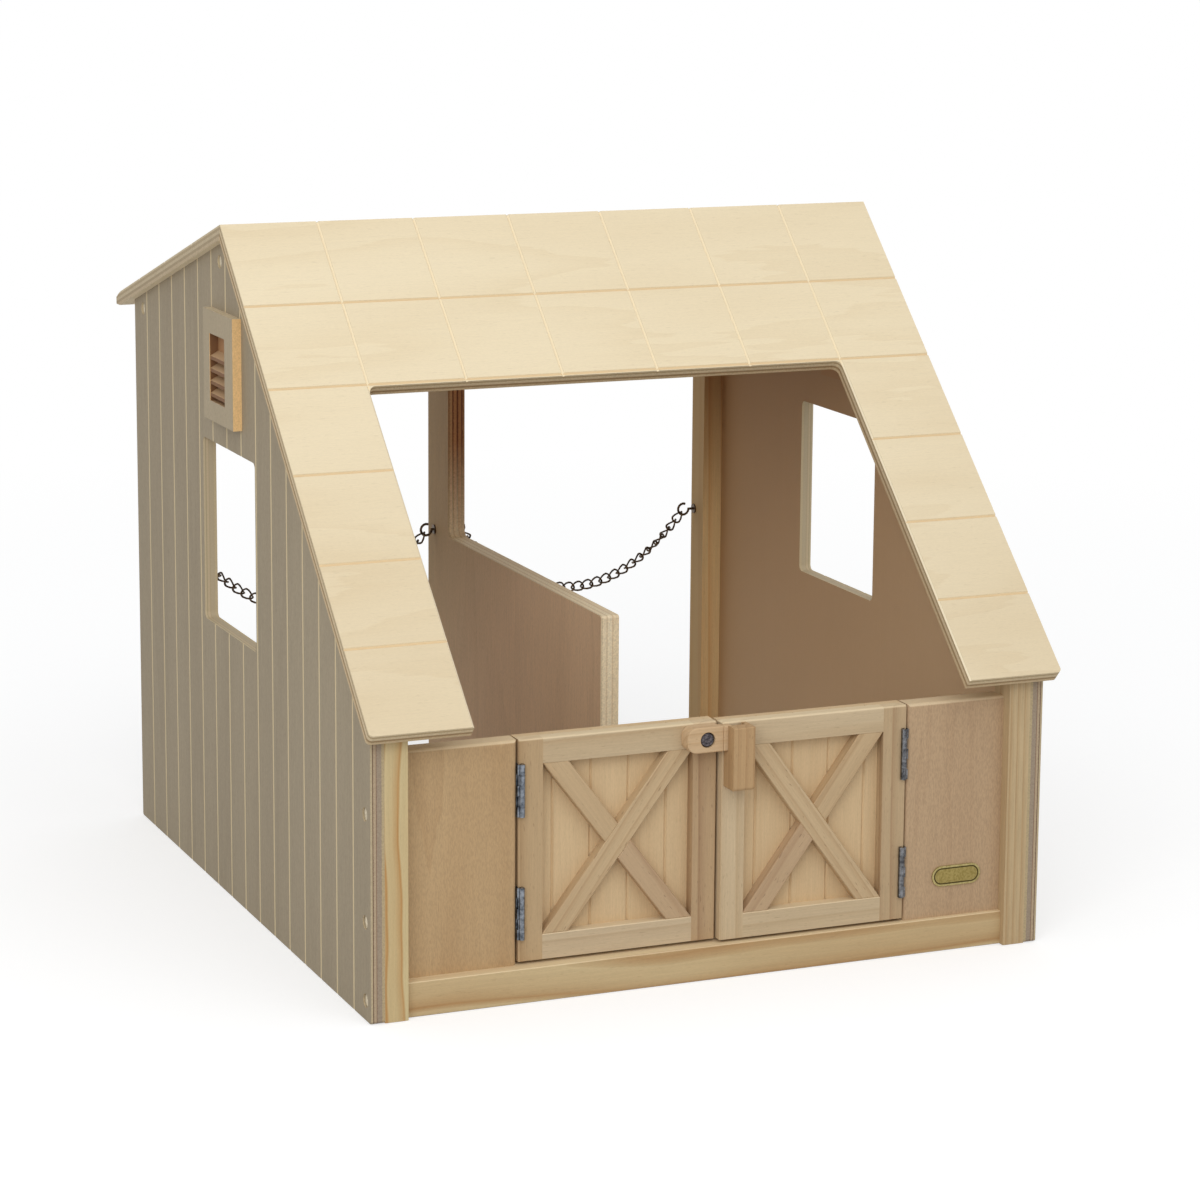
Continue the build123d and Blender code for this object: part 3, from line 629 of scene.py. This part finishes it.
# Painted light on the sill's top face.
coat(
    "front_sill",
    paint_light_on_tops(
        timber(
            "sill_pine",
            dye(210, 187, 144),
            dye(180, 141, 95),
            "X",
            heart=(-0.022, front - 0.014),
            ring=0.0095,
            figure=0.8,
            wander=5,
            lean=(0.35, 0.5),
            fibre=0.08,
            fleck=0.12,
            late=0.72,
            drift=0.22,
        )
    ),
)
rear_post_pine = timber(
    "rear_post_pine",
    dye(252, 226, 172),
    dye(234, 178, 116),
    "Z",
    heart=(0.25, 0.19),
    ring=0.008,
    figure=0.55,
    wander=2.5,
    fleck=0.1,
)
# Painted shade: apart from their sides, the rear posts and rails turn darker upwards from 0.20 m to
# 0.36 m high, where the roof shades them.
painted_roof_shade = multiplied(rear_post_pine, colour_source(rear_post_pine), dye(152, 112, 86))
sawn_side = blend_colours(rear_post_pine, 0.8, colour_source(rear_post_pine), dye(178, 146, 100))
front_side = blend_colours(
    rear_post_pine,
    rise(rear_post_pine, (0, 0, 1), 0.20, 0.36),
    colour_source(rear_post_pine),
    painted_roof_shade,
)
recolour(
    rear_post_pine,
    blend_colours(rear_post_pine, facing(rear_post_pine, (1, 0, 0)), front_side, sawn_side),
)
back_side = blend_colours(rear_post_pine, 0.65, colour_source(rear_post_pine), dye(206, 182, 142))
tint(rear_post_pine, outward(rear_post_pine, (0, 1, 0)), back_side)
for name in ("rear_left_post", "rear_right_post", "rear_top_rail", "ridge_beam"):
    coat(name, rear_post_pine)

# Painted light on the front panels' top faces.
coat(
    "front_left_panel",
    paint_light_on_tops(
        veneer(
            "left_panel_ply",
            dye(196, 165, 124),
            dye(170, 134, 94),
            "Z",
            figure=0.55,
            size=0.03,
            length=0.35,
            bands=3,
            fibre=0.06,
            speckle=0.12,
            fleck=0.15,
            shift=(0.1, 0.2, 0),
        )
    ),
)
coat(
    "front_right_panel",
    paint_light_on_tops(
        veneer(
            "right_panel_ply",
            dye(194, 164, 130),
            dye(174, 142, 110),
            "Z",
            figure=0.45,
            size=0.03,
            length=0.35,
            bands=3,
            fibre=0.08,
            speckle=0.14,
            fleck=0.15,
            shift=(0.5, 0.1, 0),
        )
    ),
)

# ---- doors --------------------------------------------------------------------
stile_dyes = {
    "left_hinge": (dye(194, 166, 128), dye(170, 138, 100)),
    "left_meeting": (dye(194, 165, 128), dye(158, 124, 92)),
    "right_meeting": (dye(210, 187, 152), dye(192, 165, 128)),
    "right_hinge": (dye(194, 168, 132), dye(166, 132, 98)),
}
rail_dyes = {
    "left_top": (dye(204, 182, 148), dye(182, 152, 114)),
    "left_bottom": (dye(207, 186, 154), dye(190, 164, 130)),
    "right_top": (dye(208, 186, 152), dye(192, 166, 130)),
    "right_bottom": (dye(206, 184, 150), dye(190, 164, 128)),
}
stile_hearts = {"hinge": 0.13, "meeting": 0.01}                # out from the barn's middle
rail_hearts = {"top": -0.15, "bottom": -0.01}
brace_slope = 0.62                                             # radians from upright
# The door stiles and rails get painted light on their top faces.
for side, hand in ((-1, "left"), (1, "right")):
    for place in ("hinge", "meeting"):
        pale, deep = stile_dyes[hand + "_" + place]
        seat = side * stile_hearts[place]
        coat(
            f"{hand}_door_{place}_stile",
            paint_light_on_tops(
                timber(
                    f"{hand}_{place}_stile_pine",
                    pale,
                    deep,
                    "Z",
                    heart=(seat + 0.022, front - 0.012),
                    ring=0.008,
                    figure=0.7,
                    wander=4,
                    lean=(1.5, 1.8),
                    fleck=0.45,
                    shift=side * 0.1,
                )
            ),
        )
    for place in ("top", "bottom"):
        pale, deep = rail_dyes[hand + "_" + place]
        coat(
            f"{hand}_door_{place}_rail",
            paint_light_on_tops(
                timber(
                    f"{hand}_{place}_rail_pine",
                    pale,
                    deep,
                    "X",
                    heart=(rail_hearts[place], front - 0.016),
                    ring=0.008,
                    figure=0.6,
                    wander=3,
                    lean=(1.2, 1.4),
                    fleck=0.35,
                    shift=side * 0.1,
                )
            ),
        )
    braces = (
        ("long_brace", side * brace_slope, dye(206, 180, 142), dye(178, 144, 106), 0.6),
        ("upper_short_brace", -side * brace_slope, dye(203, 176, 138), dye(180, 147, 108), 0.3),
        ("lower_short_brace", -side * brace_slope, dye(199, 171, 136), dye(176, 143, 110), 0.8),
    )
    for brace, tilt, pale, deep, fleck in braces:
        coat(
            f"{hand}_door_{brace}",
            timber(
                f"{hand}_{brace}_pine",
                pale,
                deep,
                (0, tilt, 0),
                heart=(-0.02 * side, front - 0.02),
                ring=0.007,
                figure=0.5,
                wander=3,
                fleck=fleck,
            ),
        )
    board_ply = veneer(
        hand + "_board_ply",
        dye(218, 190, 149),
        dye(200, 167, 125),
        "Z",
        figure=0.4,
        size=0.03,
        length=0.3,
        bands=3,
        fibre=0.08,
        speckle=0.05,
        fleck=0.15,
        shift=(side * 0.3, 0, 0),
    )
    coat(f"{hand}_door_board", board_ply)

latch_pine = timber(
    "latch_pine",
    dye(214, 184, 146),
    dye(194, 158, 116),
    "X",
    heart=(-0.14, front - 0.01),
    ring=0.005,
    figure=0.5,
    fleck=0.4,
)
coat("latch_arm", latch_pine)
coat(
    "latch_keeper",
    timber(
        "keeper_pine",
        dye(192, 158, 116),
        dye(166, 128, 88),
        "Z",
        heart=(0.03, front - 0.01),
        ring=0.005,
        figure=0.5,
        fleck=0.4,
    ),
)

vent_board = veneer(
    "vent_board",
    dye(186, 170, 142),
    dye(166, 148, 122),
    "Z",
    figure=0.3,
    size=0.02,
    length=0.1,
    bands=2,
    fibre=0.10,
    speckle=0.12,
    fleck=0.1,
)
saw_marks = stretched_noise(vent_board, grain_line(vent_board, "Z", (0, 0, 0)), 0.0009, 0.0012)
sawn = multiplied(
    vent_board, dye(250, 208, 148), ramp(vent_board, saw_marks, (0.3, 0.82), (0.7, 1.0))
)
tint(vent_board, facing(vent_board, (0, 1, 0)), sawn)
# Painted light on the vent's top faces.
paint_light_on_tops(vent_board, 0.4)
slot_depth = 0.4 * MM
in_slots = behind_slats(vent_board)
out_from_wall = sum_of(vent_board, "ABSOLUTE", share_along(vent_board, "Object", (1, 0, 0)))
below_face = sum_of(vent_board, "LESS_THAN", out_from_wall, -vent_low.x - slot_depth)
in_slots = sum_of(vent_board, "MULTIPLY", below_face, in_slots)
# Painted shade in the vent's slots: deep brown on faces that don't look up, and lighter on those
# that do.
slot_painted_shade = blend_colours(
    vent_board, outward(vent_board, (0, 0, 1)), dye(126, 90, 60), dye(186, 152, 114)
)
tint(vent_board, in_slots, slot_painted_shade)
coat("left_gable_vent", vent_board)
coat("right_gable_vent", vent_board)


# ---- metal ---------------------------------------------------------------------
def metal(name, bright, dull, size, smooth, worn, relief=0.2):
    """Metal with a patchy surface, whose gloss and fine relief follow the patches."""
    finish = new_finish(name)
    place = add(finish, "TexCoord")
    patches = add(finish, "TexNoise", Scale=1 / size, Detail=4, Roughness=0.65)
    join(finish, place.outputs["Object"], patches.inputs["Vector"])
    shell = body_of(finish)
    join(
        finish,
        ramp(finish, patches.outputs["Fac"], (0.38, dull), (0.62, bright)),
        shell.inputs["Base Color"],
    )
    shell.inputs["Metallic"].default_value = 1
    gloss = add(finish, "MapRange", To_Min=smooth, To_Max=worn)
    join(finish, patches.outputs["Fac"], gloss.inputs["Value"])
    join(finish, gloss.outputs[0], shell.inputs["Roughness"])
    bump = add(finish, "Bump", Strength=relief, Distance=0.0002)
    join(finish, patches.outputs["Fac"], bump.inputs["Height"])
    join(finish, bump.outputs[0], shell.inputs["Normal"])
    return finish


left_zinc = metal("left_zinc", dye(142, 148, 156), dye(80, 86, 94), 0.0035, 0.28, 0.45, 0.25)
right_zinc = metal("right_zinc", dye(132, 133, 136), dye(66, 67, 70), 0.0035, 0.28, 0.45, 0.25)
pin_zinc = metal("pin_zinc", dye(214, 216, 220), dye(140, 142, 148), 0.001, 0.2, 0.35)
bronze = metal("bronze", dye(118, 98, 76), dye(54, 44, 36), 0.0012, 0.28, 0.5)
black_screw = metal("black_screw", dye(112, 106, 108), dye(50, 46, 50), 0.001, 0.3, 0.5)
pale_screw = metal("pale_screw", dye(222, 212, 190), dye(190, 178, 152), 0.0015, 0.4, 0.6)
for name in nodes:
    if "hinge_pin" in name:
        coat(name, pin_zinc)
    elif "hinge_" in name and "leaf" in name:
        coat(name, left_zinc if name.startswith("left") else right_zinc)
    elif "chain" in name or "hook" in name or "screw_eye" in name:
        coat(name, bronze)
coat("latch_screw", black_screw)
coat("wall_screws", pale_screw)


# ---- blank brass plate ----------------------------------------------------------
def pick(mesh, wanted):
    """Selects the faces whose centre and normal pass the test."""
    bpy.ops.mesh.select_all(action="DESELECT")
    shape = bmesh.from_edit_mesh(mesh)
    shape.faces.ensure_lookup_table()
    for face in shape.faces:
        face.select = wanted(face.calc_center_median(), face.normal)
    shape.select_flush_mode()
    bmesh.update_edit_mesh(mesh)


def part_halves(mesh, middle, past, reach):
    """Moves apart along X the points that lie more than past beyond the middle."""
    for end in (-1, 1):
        bpy.ops.mesh.select_all(action="DESELECT")
        shape = bmesh.from_edit_mesh(mesh)
        shape.verts.ensure_lookup_table()
        for point in shape.verts:
            point.select = (point.co.x - middle) * end > past
        shape.select_flush_mode()
        bmesh.update_edit_mesh(mesh)
        bpy.ops.transform.translate(value=(end * reach, 0, 0))


def round_edges(piece, name, width, segments, by_angle):
    """Bevels a piece's edges for good and smooths what lies between them."""
    edges = piece.modifiers.new(name, "BEVEL")
    edges.width, edges.segments = width, segments
    if by_angle:
        edges.limit_method = "ANGLE"
    bpy.ops.object.modifier_apply(modifier=name)
    bpy.ops.object.shade_smooth_by_angle(angle=radians(40))


def settle(piece, body, finish):
    """Puts a finished piece's place in its mesh, coats it and hangs it on its body."""
    bpy.ops.object.transform_apply(location=True, rotation=True, scale=True)
    piece.data.materials.append(finish)
    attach(piece, body)
    bpy.ops.object.select_all(action="DESELECT")


panel_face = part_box("front_right_panel")[0].y
plate_x, plate_z = 172.8 * MM, 49.0 * MM
plate_end, plate_half_run, plate_thick = 6.75 * MM, 10.75 * MM, 1.0 * MM
plate_rim, plate_line, plate_dip = 1.3 * MM, 0.45 * MM, 0.25 * MM
plate_round = 0.2 * MM
field_radius = plate_end - plate_rim - plate_line
bpy.ops.mesh.primitive_circle_add(
    vertices=48,
    radius=plate_end,
    fill_type="NGON",
    location=(plate_x, panel_face, plate_z),
    rotation=(pi / 2, 0, 0),
)
plate = bpy.context.object
plate.name = "blank_plate"
bpy.ops.object.transform_apply(location=True, rotation=True, scale=True)
bpy.ops.object.mode_set(mode="EDIT")
part_halves(plate.data, plate_x, -HAIR, plate_half_run)
bpy.ops.mesh.select_all(action="SELECT")
bpy.ops.mesh.normals_make_consistent(inside=False)
bpy.ops.mesh.extrude_region_move(TRANSFORM_OT_translate={"value": (0, -plate_thick, 0)})
pick(plate.data, lambda centre, normal: centre.y < panel_face - plate_thick * 0.9)
bpy.ops.mesh.inset(thickness=plate_rim)
bpy.ops.mesh.inset(thickness=plate_line)
bpy.ops.transform.translate(value=(0, plate_dip, 0))
bpy.ops.mesh.inset(thickness=plate_line)
bpy.ops.transform.translate(value=(0, -plate_dip / 2, 0))
bpy.ops.mesh.select_all(action="SELECT")
bpy.ops.mesh.normals_make_consistent(inside=False)
bpy.ops.object.mode_set(mode="OBJECT")
round_edges(plate, "edge_round", plate_round, 2, by_angle=True)
plate_brass = metal("plate_brass", dye(180, 166, 116), dye(152, 138, 88), 0.0012, 0.35, 0.5, 0.1)
aside = sum_of(plate_brass, "SUBTRACT", share_along(plate_brass, "Object", (1, 0, 0)), plate_x)
past_run = sum_of(plate_brass, "SUBTRACT", sum_of(plate_brass, "ABSOLUTE", aside), plate_half_run)
past_run = sum_of(plate_brass, "MAXIMUM", past_run, 0.0)
above = sum_of(plate_brass, "SUBTRACT", share_along(plate_brass, "Object", (0, 0, 1)), plate_z)
past_squared = sum_of(plate_brass, "MULTIPLY", past_run, past_run)
above_squared = sum_of(plate_brass, "MULTIPLY", above, above)
from_axis = sum_of(plate_brass, "SQRT", sum_of(plate_brass, "ADD", past_squared, above_squared))
border = sum_of(plate_brass, "COMPARE", from_axis, field_radius, plate_line)
field = sum_of(plate_brass, "LESS_THAN", from_axis, field_radius)
worn_field = multiplied(plate_brass, colour_source(plate_brass), dye(226, 220, 200))
tint(plate_brass, field, worn_field)
tint(plate_brass, border, dye(74, 64, 38))
settle(plate, "barn", plate_brass)

# ---- tongue of the latch arm, which reaches into the keeper --------------------------
arm_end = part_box("latch_arm")[1].x
tongue_reach, tongue_round = 10.0 * MM, 0.8 * MM
tongue_near, tongue_far = 2.3 * MM, 7.7 * MM                   # behind the walls' front edges
tongue_foot, tongue_head = 147.9 * MM, 164.1 * MM
tongue_taper = (1, 0.9, 0.94)                                  # of its tip
tongue_low = Vector((arm_end, front + tongue_near, tongue_foot))
tongue_high = Vector((tongue_reach, front + tongue_far, tongue_head))
bpy.ops.mesh.primitive_cube_add(size=1, location=(tongue_low + tongue_high) / 2)
tongue = bpy.context.object
tongue.name = "latch_arm_tongue"
tongue.scale = tongue_high - tongue_low
bpy.ops.object.transform_apply(location=True, rotation=True, scale=True)
bpy.ops.object.mode_set(mode="EDIT")
pick(tongue.data, lambda centre, normal: normal.x > 0.9)
bpy.ops.transform.resize(value=tongue_taper)
bpy.ops.object.mode_set(mode="OBJECT")
round_edges(tongue, "tongue_edges", tongue_round, 3, by_angle=False)
settle(tongue, "latch", latch_pine)

# ---- chain links --------------------------------------------------------------------
link_wire, link_inner_half_run, link_inner_half_width = 0.76 * MM, 4.0 * MM, 2.6 * MM
link_bend = link_inner_half_width + link_wire
half_link, half_turn = 4.75 * MM, radians(45)                  # from a link's middle to its tip
link_turn_per_metre = half_turn / half_link


def loose_parts(mesh):
    """Points of each loose part of a mesh, in the order of its points."""
    shape = bmesh.new()
    shape.from_mesh(mesh)
    bmesh.ops.remove_doubles(shape, verts=shape.verts, dist=HAIR)
    parts, waiting = [], set(shape.verts)
    for start in shape.verts:
        if start not in waiting:
            continue
        waiting.remove(start)
        points, fresh = [], [start]
        while fresh:
            point = fresh.pop()
            points.append(point.co.copy())
            for edge in point.link_edges:
                other = edge.other_vert(point)
                if other in waiting:
                    waiting.remove(other)
                    fresh.append(other)
        parts.append(points)
    shape.free()
    return parts


def link_place(points):
    """Middle, run and width direction of one link, as a matrix."""
    middle = sum(points, Vector()) / len(points)
    reaches = [point - middle for point in points]
    tip = max(reaches, key=lambda reach: reach.length)
    run = sum((reach for reach in reaches if reach.dot(tip) > 0), Vector()).normalized()
    first = run.orthogonal().normalized()
    second = run.cross(first)
    level = sum(reach.dot(first) ** 2 - reach.dot(second) ** 2 for reach in reaches)
    mixed = sum(reach.dot(first) * reach.dot(second) for reach in reaches)
    turn = atan2(2 * mixed, level) / 2
    width = first * cos(turn) + second * sin(turn)
    place = Matrix((run, width, run.cross(width))).transposed().to_4x4()
    place.translation = middle
    return place


bpy.ops.mesh.primitive_torus_add(
    major_segments=24, minor_segments=8, major_radius=link_bend, minor_radius=link_wire
)
link = bpy.context.object
link.name = "curb_link"
bpy.ops.object.mode_set(mode="EDIT")
part_halves(link.data, 0, HAIR, link_inner_half_run - link_inner_half_width)
bpy.ops.object.mode_set(mode="OBJECT")
curb_twist = link.modifiers.new("curb_twist", "SIMPLE_DEFORM")
curb_twist.deform_method, curb_twist.deform_axis = "TWIST", "X"
curb_twist.angle = -2 * (link_inner_half_run + 2 * link_wire) * link_turn_per_metre
bpy.ops.object.modifier_apply(modifier="curb_twist")
bpy.ops.object.shade_smooth()
for side in ("left", "right"):
    chain_name = side + "_stall_chain"
    made = []
    for points in loose_parts(nodes[chain_name].data):
        bpy.ops.object.select_all(action="DESELECT")
        link.select_set(True)
        bpy.context.view_layer.objects.active = link
        bpy.ops.object.duplicate()
        bpy.context.object.matrix_world = link_place(points)
        made.append(bpy.context.object)
    for piece in made:
        piece.select_set(True)
    bpy.context.view_layer.objects.active = made[0]
    bpy.ops.object.join()
    linked = bpy.context.object
    linked.name = side + "_curb_chain"
    settle(linked, side + "_chain", bronze)
    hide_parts(chain_name)
bpy.data.objects.remove(link)

# ---- floor ---------------------------------------------------------------------
floor_radius, floor_drop = 8, 0.0003
bpy.ops.mesh.primitive_circle_add(
    vertices=96, radius=floor_radius, fill_type="NGON", location=(0, 0, -floor_drop)
)
floor = bpy.context.object
floor.name = "floor"
paper = new_finish("floor_paper")
shell = body_of(paper)
shell.inputs["Base Color"].default_value = (0.62, 0.62, 0.62, 1)
shell.inputs["Roughness"].default_value = 0.9
shell.inputs["Specular IOR Level"].default_value = 0
lift = add(paper, "Emission", Color=WHITE, Strength=0.49)
bright = add(paper, "Emission", Color=WHITE, Strength=1)
rays = add(paper, "LightPath")
seen = sum_of(paper, "MAXIMUM", rays.outputs["Is Camera Ray"], rays.outputs["Is Glossy Ray"])
lifted = add(paper, "AddShader")
join(paper, shell.outputs[0], lifted.inputs[0])
join(paper, lift.outputs[0], lifted.inputs[1])
place = add(paper, "TexCoord")
reach = add(paper, "VectorMath")
reach.operation = "LENGTH"
join(paper, place.outputs["Object"], reach.inputs[0])
# from 0.6 m to 1.7 m from its middle the paper fades into the bright background
far = ramp(paper, sum_of(paper, "MULTIPLY", reach.outputs["Value"], 0.5), (0.3, 0.0), (0.85, 1.0))
near_or_far = add(paper, "MixShader")
join(paper, far, near_or_far.inputs[0])
join(paper, lifted.outputs[0], near_or_far.inputs[1])
join(paper, bright.outputs[0], near_or_far.inputs[2])
by_ray = add(paper, "MixShader")
join(paper, seen, by_ray.inputs[0])
join(paper, shell.outputs[0], by_ray.inputs[1])
join(paper, near_or_far.outputs[0], by_ray.inputs[2])
join(paper, by_ray.outputs[0], paper.node_tree.nodes["Material Output"].inputs["Surface"])
floor.data.materials.append(paper)
